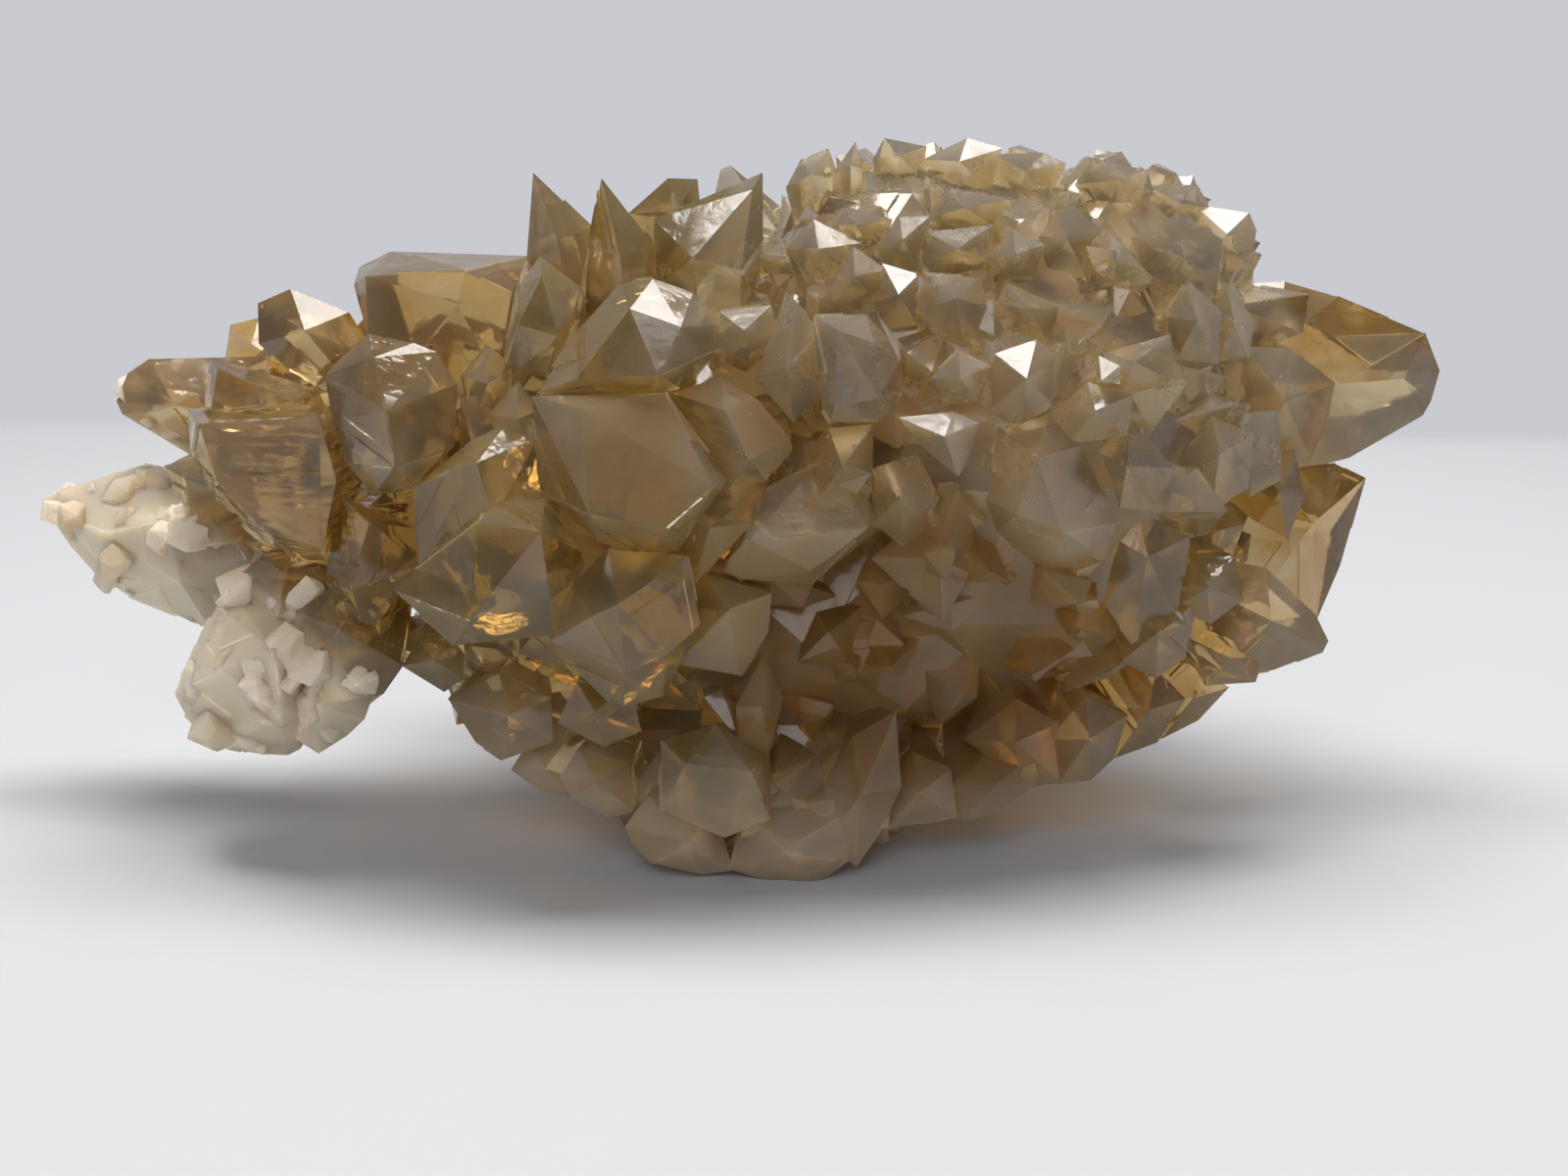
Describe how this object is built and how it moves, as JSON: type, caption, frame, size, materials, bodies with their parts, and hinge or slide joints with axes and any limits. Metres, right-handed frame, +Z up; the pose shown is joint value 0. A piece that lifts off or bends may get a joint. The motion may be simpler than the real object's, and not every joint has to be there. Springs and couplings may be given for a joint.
{
  "type": "calcite crystal cluster",
  "caption": "Honey-coloured calcite specimen: sharp crystals grown together over a domed mass, with a horn at each end and a pale rough foot.",
  "frame": {"origin": "middle of the bounding box, in the plane of the flat foot that it lies on", "axes": "+X along the length, towards the horn at the domed end; -Y is the side that the picture shows; +Z up, away from the foot"},
  "size_m": [0.1666, 0.0799, 0.0804],
  "materials": {
    "calcite": "clear to cloudy honey-coloured crystal, glossy faces, matt whitish crust where it is broken or weathered"
  },
  "bodies": {
    "root": {"calcite_cluster": "calcite"}
  },
  "joints": []
}
